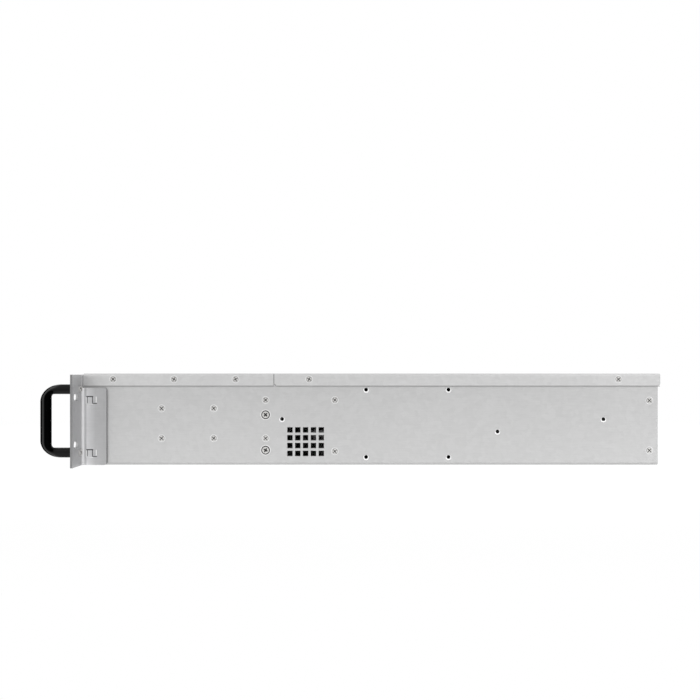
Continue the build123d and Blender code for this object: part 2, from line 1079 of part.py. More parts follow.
cage_top = module_foot(1) + module_height + module_clear + cage_wall
cage_front = body_depth - module_recess - module_depth - cage_room
module_left = cage_left + cage_wall + module_clear
module_rear = body_depth - module_recess


def module_bay(number, y0, y1):
    """The room for a power module between two depths."""
    foot = module_foot(number) - module_clear
    top = foot + module_height + 2 * module_clear
    return block(cage_left + cage_wall, cage_right - cage_wall, y0, y1, foot, top)


def psu_cage():
    """The cage of the power modules: two sides and a top, with a shelf between the modules."""
    shell = block(cage_left, cage_right, cage_front, panel_inner, wall, cage_top)
    return shell - [module_bay(number, cage_front - 1, body_depth) for number in range(2)]


def psu_module(number):
    """A power module: a closed case with a power inlet and a bail handle at the rear."""
    foot = module_foot(number)
    right = module_left + module_width
    top = foot + module_height
    case = block(module_left, right, module_rear - module_depth, module_rear, foot, top)
    left = module_left + inlet_side
    sill = foot + (module_height - inlet_height) / 2
    inlet = block(
        left,
        left + inlet_width,
        module_rear - inlet_depth,
        module_rear + 1,
        sill,
        sill + inlet_height,
    )
    start = left + inlet_width + bail_gap
    end = start + bail_width
    middle = foot + module_height / 2
    tip = module_rear + bail_reach
    bail = block(start, end, module_rear, tip, middle - bail_tall / 2, middle + bail_tall / 2)
    gap = block(start + bail_bar, end - bail_bar, module_rear, tip - bail_bar, foot, top)
    return case - inlet + (bail - gap)


def psu_latch(number):
    """The release latch at the rear of a power module, pressed towards the handle."""
    foot = module_foot(number) + (module_height - latch_height) / 2
    right = module_left + module_width - latch_side
    start = module_rear + fit
    return block(right - latch_width, right, start, start + latch_thick, foot, foot + latch_height)


def main():
    os.makedirs("parts", exist_ok=True)
    write("chassis_tub", chassis_tub())
    write("front_cover", front_cover())
    write("rear_cover", rear_cover())
    write("right_ear", right_ear())
    write("left_ear", left_ear())
    write("control_plate", control_plate())
    write("control_block", control_block())
    write("power_button", button(power_radius, power_height))
    write("reset_button", button(reset_radius, reset_height))
    write("right_handle", right_handle())
    write("cable_duct", cable_duct())
    write("ear_clip", ear_clip())
    write("drive_shelves", drive_shelves())
    write("bay_dividers", bay_dividers())
    tray = tray_blank()
    lever = lever_blank()
    for row in range(bay_rows):
        for column in range(bay_columns):
            number = row * bay_columns + column + 1
            x, z = bay_corner(column, row)
            write(f"drive_tray_{number}", Pos(x, 0, z) * tray)
            write(f"tray_lever_{number}", Pos(x, 0, z) * lever)
    write("backplane", backplane())
    write("backplane_bracket", backplane_bracket())
    write("fan_wall", fan_wall())
    write("fan_frames", fan_frames())
    for number, x in enumerate(fan_places()):
        write(f"fan_rotor_{number + 1}", fan_rotor(x))
    write("motherboard", motherboard())
    write("board_standoffs", board_standoffs())
    write("processor_sockets", processor_sockets())
    write("board_slots", memory_slots() + expansion_slots())
    write("heat_sink", heat_sink())
    write("rear_ports", rear_ports())
    write("rear_panel", rear_panel())
    write("io_shield", io_shield())
    write("slot_covers", slot_covers())
    write("slot_bar", slot_bar())
    write("psu_cage", psu_cage())
    for number in range(2):
        write(f"psu_module_{number + 1}", psu_module(number))
        write(f"psu_latch_{number + 1}", psu_latch(number))


main()
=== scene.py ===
import math

import bpy
import numpy as np
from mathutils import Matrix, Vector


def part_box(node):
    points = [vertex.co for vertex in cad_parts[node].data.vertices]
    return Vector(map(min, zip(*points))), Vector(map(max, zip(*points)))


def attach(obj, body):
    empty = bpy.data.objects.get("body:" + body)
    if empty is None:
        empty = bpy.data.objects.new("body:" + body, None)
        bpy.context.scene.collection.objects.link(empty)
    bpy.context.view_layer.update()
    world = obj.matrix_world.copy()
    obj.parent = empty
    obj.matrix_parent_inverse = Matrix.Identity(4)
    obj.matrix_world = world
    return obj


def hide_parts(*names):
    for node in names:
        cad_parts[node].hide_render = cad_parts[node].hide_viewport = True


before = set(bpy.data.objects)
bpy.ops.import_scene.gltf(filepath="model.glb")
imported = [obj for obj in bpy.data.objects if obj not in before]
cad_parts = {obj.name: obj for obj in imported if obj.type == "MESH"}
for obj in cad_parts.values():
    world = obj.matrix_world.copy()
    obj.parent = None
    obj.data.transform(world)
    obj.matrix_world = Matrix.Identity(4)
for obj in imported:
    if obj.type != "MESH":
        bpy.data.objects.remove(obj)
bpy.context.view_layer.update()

# The camera stands level with the top of the case and looks square on to its right side.
# The place and the lens come from the spread of the edges in the picture, and the small shift from the horizon.
camera = bpy.data.objects.new("camera", bpy.data.cameras.new("camera"))
camera.location = (0.886, 0.2555, 0.0868)
camera.rotation_euler = (math.pi / 2, 0, math.pi / 2)
camera.data.sensor_width = 36.0
camera.data.lens = 36.05
camera.data.shift_y = 0.0346
camera.data.clip_start = 0.01
bpy.context.scene.collection.objects.link(camera)
bpy.context.scene.camera = camera
bpy.context.scene.view_settings.view_transform = "Standard"


# The studio is a white table, lit softly from below near the case, under an even white sky and wide soft lamps.
# The camera sees the table as paper white, and it still takes the shadow of the case.
class Shade:
    """A socket in a material's tree. Arithmetic on it adds Math nodes, and add() makes any other node."""

    def __init__(self, tree, socket=None):
        self.tree = tree
        self.socket = socket

    def add(self, kind, settings=None, sockets=None, out=0):
        """A new node: its settings first, then the values or links of its sockets. Gives one of its outputs."""
        node = self.tree.nodes.new(kind)
        for key, value in (settings or {}).items():
            setattr(node, key, value)
        for key, value in (sockets or {}).items():
            if isinstance(value, Shade):
                self.tree.links.new(value.socket, node.inputs[key])
            else:
                node.inputs[key].default_value = value
        return Shade(self.tree, node.outputs[out] if len(node.outputs) else None)

    def maths(self, operation, first, second=0.0, clamp=False):
        """A Math node on two values or sockets."""
        return self.add("ShaderNodeMath", {"operation": operation, "use_clamp": clamp}, {0: first, 1: second})

    def __add__(self, other):
        return self.maths("ADD", self, other)

    def __rsub__(self, other):
        return self.maths("SUBTRACT", other, self)

    def __mul__(self, other):
        return self.maths("MULTIPLY", self, other)

    def __gt__(self, other):
        return self.maths("GREATER_THAN", self, other)

    def __lt__(self, other):
        return self.maths("LESS_THAN", self, other)

    def __abs__(self):
        return self.maths("ABSOLUTE", self)

    __radd__ = __add__
    __rmul__ = __mul__

    def vector(self, operation, other=(0.0, 0.0, 0.0), out=0):
        """A vector operation on this socket and another vector."""
        return self.add("ShaderNodeVectorMath", {"operation": operation}, {0: self, 1: other}, out)

    def part(self, axis):
        """The X, Y or Z of this place or direction."""
        return self.add("ShaderNodeSeparateXYZ", None, {0: self}, axis)

    def ramp(self, low, high, first, last, run="LINEAR"):
        """The first value up to where this socket is low, the last from where it is high, and a run between."""
        sockets = {0: self, 1: low, 2: high, 3: first, 4: last}
        return self.add("ShaderNodeMapRange", {"interpolation_type": run}, sockets)

    def noise(self, scale, detail=2.0):
        """Cloudy noise over this place, with so many waves to the metre."""
        return self.add("ShaderNodeTexNoise", None, {"Vector": self, "Scale": scale, "Detail": detail})

    def mix(self, first, second):
        """The first colour where this socket is 0 and the second where it is 1."""
        return self.add("ShaderNodeMix", {"data_type": "RGBA"}, {0: self, 6: first, 7: second}, 2)

    def skin(self, sockets):
        """A principled surface with these sockets, led to the material's output."""
        surface = self.add("ShaderNodeBsdfPrincipled", None, sockets)
        self.add("ShaderNodeOutputMaterial", None, {"Surface": surface})


def blank(name):
    """A new material, its empty tree, and the place of each point on the piece."""
    material = bpy.data.materials.new(name)
    material.use_nodes = True
    material.node_tree.nodes.clear()
    tree = Shade(material.node_tree)
    return material, tree, tree.add("ShaderNodeTexCoord", out="Object")


def tint(red, green=None, blue=None):
    """A colour from 0 to 255 steps of a screen, as the linear light that a shader takes."""
    steps = (red, red if green is None else green, red if blue is None else blue)
    return tuple((step / 255) ** 2.2 for step in steps) + (1.0,)


black, white = tint(0), tint(255)
floor_finish, tree, place = blank("studio_floor")
camera_ray = tree.add("ShaderNodeLightPath", out="Is Camera Ray")
away = place.vector("SUBTRACT", (0.0, 0.3, 0.0)).vector("MULTIPLY", (1.0, 0.62, 0.0)).vector("LENGTH", out="Value")
pool = away.ramp(0.36, 0.62, 1.0, 0.0, "SMOOTHSTEP")
paper = tree.add("ShaderNodeBsdfDiffuse", None, {"Color": tint(248)})
glow = tree.add("ShaderNodeEmission", None, {"Color": white})
below = tree.add("ShaderNodeEmission", None, {"Color": (0.6 * pool).mix(black, white)})
lit = tree.add("ShaderNodeAddShader", None, {0: paper, 1: below})
surface = tree.add("ShaderNodeMixShader", None, {0: camera_ray * (1 - 0.1 * pool), 1: lit, 2: glow})
tree.add("ShaderNodeOutputMaterial", None, {"Surface": surface})
floor_mesh = bpy.data.meshes.new("floor")
floor_mesh.from_pydata([(-6, -6, 0), (6, -6, 0), (6, 6, 0), (-6, 6, 0)], [], [(0, 1, 2, 3)])
floor = bpy.data.objects.new("floor", floor_mesh)
floor_mesh.materials.append(floor_finish)
bpy.context.scene.collection.objects.link(floor)

world = bpy.data.worlds.new("sky")
world.use_nodes = True
world.node_tree.nodes.clear()
tree = Shade(world.node_tree)
direct = tree.add("ShaderNodeLightPath", out="Is Camera Ray")
mirrored = Shade(tree.tree, direct.socket.node.outputs["Is Glossy Ray"])
through = Shade(tree.tree, direct.socket.node.outputs["Is Transmission Ray"])
seen = tree.maths("ADD", direct + mirrored, through, clamp=True)
sky = tree.add("ShaderNodeBackground", None, {"Color": white, "Strength": 0.5 + 0.5 * seen})
tree.add("ShaderNodeOutputWorld", None, {"Surface": sky})
bpy.context.scene.world = world


def lamp(name, place, aim, size, power):
    """A square soft lamp at a place, turned to its aim."""
    data = bpy.data.lights.new(name, "AREA")
    data.shape = "SQUARE"
    data.size = size
    data.energy = power
    made = bpy.data.objects.new(name, data)
    made.location = place
    away = np.subtract(place, aim)
    level = math.hypot(away[0], away[1])
    made.rotation_euler = (math.atan2(level, away[2]), 0, math.atan2(away[1], away[0]) + math.pi / 2)
    bpy.context.scene.collection.objects.link(made)


case_middle = (0.0, 0.3, 0.05)
for name, side in (("right", 1), ("left", -1)):
    lamp(f"{name}_front_lamp", (side * 1.6, -2.0, 1.1), case_middle, 2.0, 12)
    lamp(f"{name}_rear_lamp", (side * 1.6, 2.4, 1.2), case_middle, 3.0, 21)
lamp("top_lamp", (0.0, 0.2, 2.4), case_middle, 2.4, 2)

# The tub is zinc-coated steel, one sheet folded up at both sides, with the dull satin of a fine spangle.
# The other folded parts come from the same sort of sheet, each from its own batch, a shade lighter or darker.
MM = 0.001


def rounded(tree, radius):
    """The normal of a surface whose edges look rounded by that many millimetres."""
    return tree.add("ShaderNodeBevel", {"samples": 4}, {"Radius": radius * MM}, "Normal")


def sheet_metal(name, tone, rough=0.44, metal=0.78, edge=0.35, rim=0.7, rim_painted_shade=0.9, bare_and_painted_shade=None, painted_glow=None):
    """Satin zinc: each crystal of the coating a hair lighter or darker, with fine rolling marks along the case.
    The first mask darkens the sheet where it is high: bare steel on the sheared edges, and painted shade on the
    fold along the foot of the tub. Painted shade also darkens the sheet towards every edge and into every crease,
    over the rim's millimetres, by how far the rounded normal leans from the flat one. The second mask paints light:
    the coating is brighter where it is high, beside the fold of an ear."""
    material, tree, place = blank(name)
    crystals = tree.add("ShaderNodeTexVoronoi", None, {"Vector": place, "Scale": 260.0}, "Color")
    rolled = tree.add("ShaderNodeMapping", None, {"Vector": place, "Scale": (1.0, 0.06, 1.0)})
    marks = rolled.noise(1500.0, 3.0)
    cloud = place.noise(9.0)
    grit = place.noise(2600.0)
    flat = tree.add("ShaderNodeNewGeometry", out="Normal")
    lean = 1 - rounded(tree, rim).vector("DOT_PRODUCT", flat, "Value")
    # Painted shade: the sheet darkens towards every edge and into every crease, by the lean of the rounded normal.
    level = (0.87 + 0.07 * crystals + 0.12 * marks + 0.06 * cloud) * (1 - rim_painted_shade * lean)
    # The first mask darkens bare sheared edges, and adds painted shade on the tub's foot fold.
    if bare_and_painted_shade is not None:
        level = level * (1 - 0.45 * bare_and_painted_shade(place))
    # The second mask paints light on each ear's flange beside its fold.
    if painted_glow is not None:
        level = level * (0.88 + 0.4 * painted_glow(place))
    shade = tree.add("ShaderNodeVectorMath", {"operation": "SCALE"}, {0: tone[:3], 3: level})
    bump = tree.add("ShaderNodeBump", None, {"Strength": 0.12, "Distance": 0.0002, "Height": 0.5 * marks + 0.5 * grit,
                                             "Normal": rounded(tree, edge)})
    gloss = rough - 0.05 + 0.10 * cloud + 0.05 * crystals
    tree.skin({"Base Color": shade, "Metallic": metal, "Roughness": gloss, "Normal": bump})
    return material


def dress(finish, *names):
    """Gives CAD nodes a finish through their material slots."""
    for name in names:
        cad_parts[name].material_slots[0].material = finish


def painted_foot_shade(place):
    """0.3 on the faces that look partly down along the foot of the side walls: painted shade on the fold there."""
    up = place.add("ShaderNodeNewGeometry", out="True Normal").part("Z")
    return 0.3 * (up < -0.05) * (up > -0.98) * (place.part("Z") < 0.004)


side_x = 0.215
tub_zinc = sheet_metal("galvanised_sheet", tint(193), edge=0.12, rim_painted_shade=0.8, bare_and_painted_shade=painted_foot_shade)
dress(tub_zinc, "chassis_tub")


# The front and rear covers are folded from slightly brighter zinc-coated sheet.
# Their flanges come down over the top edge of the tub and are held by a row of screws on each side.
def facing_down(place):
    """1 on faces that look down above the base, such as the sheared foot of a flange."""
    normal = place.add("ShaderNodeNewGeometry", out="True Normal")
    return (normal.part("Z") < -0.9) * (place.part("Z") > 0.01)


cover_x = 0.216
cover_zinc = sheet_metal("cover_sheet", tint(202), rough=0.42, edge=1.2, rim_painted_shade=0.2, bare_and_painted_shade=facing_down)
dress(cover_zinc, "front_cover", "rear_cover")

# The screws are zinc-plated steel with a cross recess, driven flush into pressed dimples in the sheet.
# The large ones, two on the right and one on the left, hold the frame of the drive bays.
FACING = {
    "right": np.array([[0, 1, 0], [0, 0, 1], [1, 0, 0]], float),
    "left": np.array([[0, -1, 0], [0, 0, 1], [-1, 0, 0]], float),
    "rear": np.array([[-1, 0, 0], [0, 0, 1], [0, 1, 0]], float),
    "front": np.array([[1, 0, 0], [0, 0, 1], [0, -1, 0]], float),
}


def net(rows, columns, closed=False):
    """The quads of a grid of points, row by row, closed around the columns, and if asked from the last row to the
    first too."""
    row = np.arange(rows if closed else rows - 1)[:, None]
    first, second = row * columns, (row + 1) % rows * columns
    here = np.arange(columns)
    after = (here + 1) % columns
    return np.stack([first + here, first + after, second + after, second + here], -1).reshape(-1, 4)


def with_poles(rows, columns):
    """The faces of rows of points between a first point and a last one, each end closed by a fan to its point."""
    here = np.arange(columns)
    after = (here + 1) % columns
    last = 1 + rows * columns
    start = last - columns
    bottom = np.stack([0 * here, 1 + after, 1 + here], -1)
    top = np.stack([0 * here + last, start + here, start + after], -1)
    return bottom.tolist() + (net(rows, columns) + 1).tolist() + top.tolist()


def spun(profile, spokes=40):
    """A surface of revolution about w: radius and height along a profile, turned through even angles.
    The first and last points of the profile, at radius 0, become single poles."""
    profile = np.asarray(profile, float)
    turn = np.arange(spokes) * 2 * math.pi / spokes
    reach, height = profile[1:-1, :1], profile[1:-1, 1:]
    body = np.stack([reach * np.cos(turn), reach * np.sin(turn), height + 0 * turn], -1)
    points = np.concatenate([[[0, 0, profile[0, 1]]], body.reshape(-1, 3), [[0, 0, profile[-1, 1]]]])
    return points, with_poles(len(reach), spokes)


def put(shape, facing, x, y, z):
    """A shape of u, v and w in millimetres, along, up and out of one side, put at a place in metres."""
    points, faces = shape
    return points @ FACING[facing] * MM + (x, y, z), faces


def gather(parts):
    """One list of points and one of faces from several shapes."""
    starts = np.cumsum([0] + [len(points) for points, faces in parts[:-1]])
    points = np.concatenate([points for points, faces in parts])
    faces = [[int(c) + int(start) for c in face] for start, (_, group) in zip(starts, parts) for face in group]
    return points, faces


def build(name, shape, finish, body, depth=None, crease=35.0):
    """A piece from a shape in metres, riding on a body, with smooth shading up to the crease angle."""
    points, faces = shape
    mesh = bpy.data.meshes.new(name)
    mesh.from_pydata(np.asarray(points).tolist(), [], [tuple(face) for face in faces])
    if depth is not None:
        layer = mesh.attributes.new("depth", "FLOAT", "POINT")
        layer.data.foreach_set("value", np.asarray(depth, np.float32))
    mesh.shade_smooth()
    mesh.set_sharp_from_angle(angle=math.radians(crease))
    mesh.materials.append(finish)
    made = bpy.data.objects.new(name, mesh)
    bpy.context.scene.collection.objects.link(made)
    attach(made, body)
    return made


def screw_head(radius, crown=0.16, arm=0.94, width=0.2):
    """A screw head facing +w. Its height is a low crown that falls with the square of the radius, less a cross:
    each arm's depth fades out across its width and towards its end. Gives points, faces and depth in the cross."""
    rings = np.concatenate([np.linspace(0, 0.8, 13), [0.88, 0.94, 0.975, 1.0]]) * radius
    profile = np.stack([rings, crown * (1 - 0.25 * (rings / radius) ** 2)], -1)
    profile[-2, 1] -= 0.03
    profile = np.concatenate([profile, [[radius, 0.0], [0.0, 0.0]]])
    points, faces = spun(profile[::-1], 48)
    across = np.abs(points[:, :2]) / radius
    near = across.min(1)
    far = across.max(1)
    cross = np.clip((width - near) / 0.07, 0, 1) * np.clip((arm - far) / 0.16, 0, 1)
    cross = np.maximum(cross, np.clip((0.24 - np.hypot(*across.T)) / 0.08, 0, 1))
    cross *= points[:, 2] > 0.05
    points[:, 2] -= cross * (crown - 0.04)
    return points, faces, cross


def stamp(head, facing, plane, places, spin):
    """Copies of a screw head to places on a flat side, each a distance along it and a height, in millimetres. Each
    stops at its own angle, up to the spin in radians from a diagonal cross."""
    points, faces, depth = head
    made = []
    for number, (along, up) in enumerate(places):
        angle = math.pi / 4 + spin * math.sin(2.4 * number)
        turn = np.array([[math.cos(angle), math.sin(angle), 0], [-math.sin(angle), math.cos(angle), 0], [0, 0, 1]])
        place = (plane, along * MM) if facing in ("right", "left") else (along * MM, plane)
        made.append((*put((points @ turn, faces), facing, *place, up * MM), depth))
    return made


def screw_steel(name, tone):
    """Bright zinc plate, with painted shade dark in the recess, where the depth attribute is high."""
    material, tree, place = blank(name)
    depth = tree.add("ShaderNodeAttribute", {"attribute_name": "depth"}, None, "Fac")
    wear = place.noise(900.0, 3.0)
    bump = tree.add("ShaderNodeBump", None, {"Strength": 0.1, "Distance": 0.0001, "Height": wear})
    tree.skin({"Base Color": (0.96 * depth).mix(tone, tint(30)), "Metallic": 0.9 - 0.5 * depth,
               "Roughness": 0.26 + 0.14 * wear + 0.3 * depth, "Normal": bump})
    return material


bright_screw = screw_steel("screw_plate", tint(206, 205, 203))


def screws(name, *groups):
    """One piece from groups of stamped screw heads."""
    heads = [head for group in groups for head in group]
    depth = np.concatenate([head[2] for head in heads])
    build(name, gather([head[:2] for head in heads]), bright_screw, "chassis", depth)


small_radius, large_radius = 2.5, 3.2
small_head = screw_head(small_radius)
large_head = screw_head(large_radius, crown=0.5, arm=0.74, width=0.25)
large_right, large_left = [(174.7, 48.0), (174.7, 14.1)], [(174.4, 50.2)]
right_cover_screws = [(29.0, 82.0), (87.2, 82.0), (146.1, 82.0), (216.4, 82.0), (512.1, 82.0)]
left_cover_screws = [(28.2, 80.8), (86.2, 80.8), (145.4, 80.8), (213.1, 81.0), (505.2, 81.0)]
right_wall_screws = [(75.1, 54.1), (75.1, 25.5), (125.1, 54.1), (125.1, 25.5), (174.7, 62.1), (174.7, 25.5),
                     (241.0, 62.1), (241.0, 13.0), (542.0, 61.6), (542.0, 13.9)]
left_wall_screws = [(26.4, 53.9), (26.4, 25.5), (75.0, 53.9), (75.0, 25.5), (132.4, 53.9), (132.4, 25.5),
                    (174.4, 62.1), (174.4, 26.0), (241.6, 61.6), (241.6, 12.8), (542.0, 62.0), (542.0, 14.2)]
duct_screws = [(31.3, 11.2), (219.2, 10.0)]
duct_out = 9.3 * MM
screws("side_screws",
       stamp(small_head, "right", cover_x, right_cover_screws, 0.3),
       stamp(small_head, "right", side_x, right_wall_screws, 0.1),
       stamp(large_head, "right", side_x, large_right, 0.4),
       stamp(small_head, "left", -cover_x, left_cover_screws, 0.2),
       stamp(small_head, "left", -side_x, left_wall_screws, 0.5),
       stamp(large_head, "left", -side_x, large_left, 0.4),
       stamp(small_head, "left", -side_x - duct_out, duct_screws, 0.6))


# The plain round holes of the side walls are punched through the bare zinc-coated sheet.
# Each has a painted highlight, a bright ring round its rim, widest below the hole.
def ring(inner, section, height, spokes=40):
    """A ring round w: a half ellipse, a section wide and a height tall, carried round a circle of the inner radius
    and closed below. The section is one width or one for each spoke."""
    bend = np.linspace(0, math.pi, 7)[:, None]
    turn = np.arange(spokes) * 2 * math.pi / spokes
    reach = inner + section / 2 * (1 - np.cos(bend)) + 0 * turn
    points = np.stack([reach * np.cos(turn), reach * np.sin(turn), height * np.sin(bend) + 0 * turn], -1)
    return points.reshape(-1, 3), net(len(bend), spokes, closed=True)[:, ::-1]


right_holes = [(190.5, 44.0, 1.85), (270.9, 72.1, 1.85), (270.9, 7.6, 1.85), (349.8, 72.1, 1.85), (349.8, 7.6, 1.85),
               (396.7, 32.0, 1.85), (498.1, 43.8, 1.85)]
left_holes = [(190.5, 44.0, 1.85), (313.2, 12.8, 1.85), (332.8, 43.2, 1.85), (388.5, 12.9, 2.1), (438.9, 43.4, 1.85),
              (472.7, 13.5, 1.85), (492.6, 43.2, 1.85)]
# Pieces this thin keep their own normals, because the edges of the sheet finish are wider than they are.
thin = {"edge": 0.02, "rim": 0.02}
# Painted highlight: a bright ring round each hole, widest below it.
hole_highlight_finish = sheet_metal("hole_rim_highlight", tint(246), rough=0.35, metal=0.85, **thin)
highlight_width = 0.2 + 0.5 * (1 - np.sin(np.arange(40) * 2 * math.pi / 40))
hole_highlights = [put(ring(radius, highlight_width, 0.1), facing, plane, along * MM, up * MM)
         for facing, plane, holes in (("right", side_x, right_holes), ("left", -side_x, left_holes))
         for along, up, radius in holes]
build("hole_rim_highlights", gather(hole_highlights), hole_highlight_finish, "chassis")

# Each screw sits in a dimple pressed into the sheet around its hole.
# Painted shade shows as a dark ring round the head, and a painted highlight as a bright ring on the dimple's rim.
# Painted shade: a flat dark ring in the gap round each head.
gap_shade_finish = sheet_metal("gap_shadow", tint(78), rough=0.6, **thin)
# Painted highlight: a bright ring on each dimple's rim.
rim_highlight_finish = sheet_metal("dimple_rim_highlight", tint(222), rough=0.4, **thin)
small_gap, large_gap, rim_width = 0.3, 1.0, 0.8
gap_shadows, rim_highlights = [], []
for facing, plane, places, radius, gap in (
        ("right", cover_x, right_cover_screws, small_radius, small_gap),
        ("right", side_x, right_wall_screws, small_radius, small_gap),
        ("left", -cover_x, left_cover_screws, small_radius, small_gap),
        ("left", -side_x, left_wall_screws, small_radius, small_gap),
        ("right", side_x, large_right, large_radius, large_gap),
        ("left", -side_x, large_left, large_radius, large_gap)):
    for along, up in places:
        gap_shadows.append(put(ring(radius, gap, 0.04), facing, plane, along * MM, up * MM))
        rim_highlights.append(put(ring(radius + gap, rim_width, 0.08), facing, plane, along * MM, up * MM))
build("screw_gap_shadows", gather(gap_shadows), gap_shade_finish, "chassis")
build("screw_dimple_highlights", gather(rim_highlights), rim_highlight_finish, "chassis")


# Two more holes of the left wall lie half under the edge of the cover, so only their lower half shows; they are drawn
# as dark discs of painted shade. Two holes of the right wall lie in front of the module cage, and dark discs just
# inside them paint the shade in the holes.
def clouded(name, first, second, scale, rough, coat=0.0):
    """A smooth finish that drifts between two close colours, so many times in a metre."""
    material, tree, place = blank(name)
    tree.skin({"Base Color": place.noise(scale).mix(first, second), "Roughness": rough, "Coat Weight": coat})
    return material


# Painted shade: dark discs stand for the shaded hollows of holes.
hole_shade = clouded("hole_shade", tint(12), tint(24), 300.0, 0.9)
shade_disc_x = side_x - 1.0 * MM
discs = [put(spun([(0, 0), (radius, 0), (radius, 0.04), (0, 0.05)], 32), facing, plane, along * MM, up * MM)
         for facing, plane, along, up, radius in (
             ("left", -side_x, 395.4, 74.3, 1.85), ("left", -side_x, 472.7, 74.3, 1.85),
             ("right", shade_disc_x, 396.7, 32.0, 1.75), ("right", shade_disc_x, 498.1, 43.8, 1.75))]
build("hole_shade_discs", gather(discs), hole_shade, "chassis")

# The ears are thicker zinc-coated sheet, folded to a plate in front and a flange along the side.
# They are duller than the covers, and a flat plate backs the control block on the left ear. Beside the fold
# each flange is brighter with painted light, which fades along the flange.
ear_end, flange_end, fold_x = 0.2412, 0.0231, 0.2195


def ear_ends(place):
    """1 on the outer end of an ear's plate and on the rear end of its flange."""
    return place.maths("MAXIMUM", abs(place.part("X")) > ear_end, place.part("Y") > flange_end)


def fold_painted_light(place):
    """Painted light: 1 on an ear's flange at the fold, falling to 0 over the flange's length, and 0.1 on the plate.
    Behind the fold up to 1.2 is added, which fades over 8 mm."""
    back = place.part("Y")
    plate = abs(place.part("X")) > fold_x
    fall = back.ramp(0.002, 0.024, 1.0, 0.0)
    rise = back.ramp(0.0032, 0.0045, 0.0, 1.2)
    fade = back.ramp(0.0045, 0.0125, 1.0, 0.0)
    return (fall + rise * fade) * (1 - plate) + 0.1 * plate


ear_zinc = sheet_metal("ear_sheet", tint(181, 181, 182), rough=0.46, bare_and_painted_shade=ear_ends, painted_glow=fold_painted_light)
dress(ear_zinc, "left_ear", "right_ear")
plate_zinc = sheet_metal("plate_sheet", tint(194), rough=0.46)
dress(plate_zinc, "control_plate")


# The flanges of the ears are hooked into the wall by small tongues, lanced out of the sheet and pressed through.
# Each lance shows painted shade as dark lines in the sheared gaps on three sides, with painted highlights as bright
# lines beside them.
def sleeve(rows, columns):
    """The faces of a tube of rows of points, each open end closed by a single face."""
    first, last = list(range(columns)), list(range((rows - 1) * columns, rows * columns))
    return net(rows, columns).tolist() + [first[::-1], last]


def rod_along(path, radius, spokes=12, rise=1.0):
    """A rod along a path that lies in one plane of u and v, in millimetres. Its section is a circle, or an ellipse
    that rises by that share of the radius: each point is the path's point plus the section's two measures along
    the path's normal and along w."""
    path = np.asarray(path, float)
    tangent = np.gradient(path, axis=0)
    tangent /= np.linalg.norm(tangent, axis=1)[:, None]
    normal = np.stack([-tangent[:, 1], tangent[:, 0], 0 * tangent[:, 0]], -1)[:, None]
    turn = np.arange(spokes)[:, None] * 2 * math.pi / spokes
    rows = path[:, None] + radius * np.cos(turn) * normal + radius * rise * np.sin(turn) * (0, 0, 1)
    return rows.reshape(-1, 3), sleeve(len(path), spokes)


def straight(first, last, count=6):
    """Points along a straight line in u and v from the first to the last."""
    line = np.linspace(first, last, count)
    return np.concatenate([line, np.zeros((count, 1))], 1)


flange_x, lower_drop = 0.217, 50.7
# Painted shade: dark lines in the sheared gaps of each lance.
lance_shade = sheet_metal("lance_gap_shade", tint(84, 84, 86), rough=0.5, **thin)
# Painted highlight: bright lines beside the gaps, where the lance's edges catch the light.
lance_highlight = sheet_metal("lance_edge_highlight", tint(236), rough=0.35, metal=0.9, **thin)
lance_cuts = [((3.9, 65.5), (10.4, 65.5), 0.5), ((4.9, 65.5), (4.9, 59.3), 0.3), ((9.8, 65.5), (9.8, 59.0), 0.4),
              ((9.7, 59.0), (14.0, 59.0), 0.42)]
lance_edges = [((3.5, 65.7), (3.5, 58.6), 0.4), ((3.9, 58.2), (10.4, 58.2), 0.3), ((13.2, 65.4), (13.2, 59.7), 0.45)]
for piece, finish, lines in (("ear_lance_shadows", lance_shade, lance_cuts), ("ear_lance_highlights", lance_highlight, lance_edges)):
    parts = []
    for facing, side, drop in (("right", 1, 0.0), ("right", 1, lower_drop), ("left", -1, 0.0)):
        for first, last, radius in lines:
            path = straight(first, last) * (side, 1, 1) - (0, drop, 0)
            parts.append(put(rod_along(path, radius, rise=0.4), facing, side * flange_x, 0, 0))
    build(piece, gather(parts), finish, "chassis")

# The lower edges of the cover flanges show as a thin dark line, partly the bare sheared edge and mostly painted shade
# under the flange, and the joint where the rear cover butts against the front one is a dark line of painted shade.
# The rear cover's corner there is nipped off at a slant, drawn as a slanted dark line of the same painted shade.
front_low, front_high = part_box("front_cover")
rear_low, rear_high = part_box("rear_cover")
joint = (front_high.y + rear_low.y) / 2 / MM
foot_z = rear_low.z / MM + 0.1
lines = [((front_low.y / MM + 0.5, foot_z), (joint - 0.4, foot_z), 0.4),
         ((joint + 2.4, foot_z), (rear_high.y / MM - 0.3, foot_z), 0.4),
         ((joint, foot_z + 2.9), (joint, front_high.z / MM - 0.6), 0.45),
         ((joint + 0.1, foot_z + 2.1), (joint + 2.1, foot_z + 0.3), 0.5)]
# Painted shade with the bare edge: dark rods under the flange foot and along the joint.
bare_edge_shade = sheet_metal("bare_edge_shade", tint(150), rough=0.5, **thin)
edge_shade_lines = [put(rod_along(straight(first, last, 24) * (side, 1, 1), radius, rise=0.3), facing, side * cover_x, 0, 0)
         for facing, side in (("right", 1), ("left", -1)) for first, last, radius in lines]
build("cover_shade_lines", gather(edge_shade_lines), bare_edge_shade, "chassis")


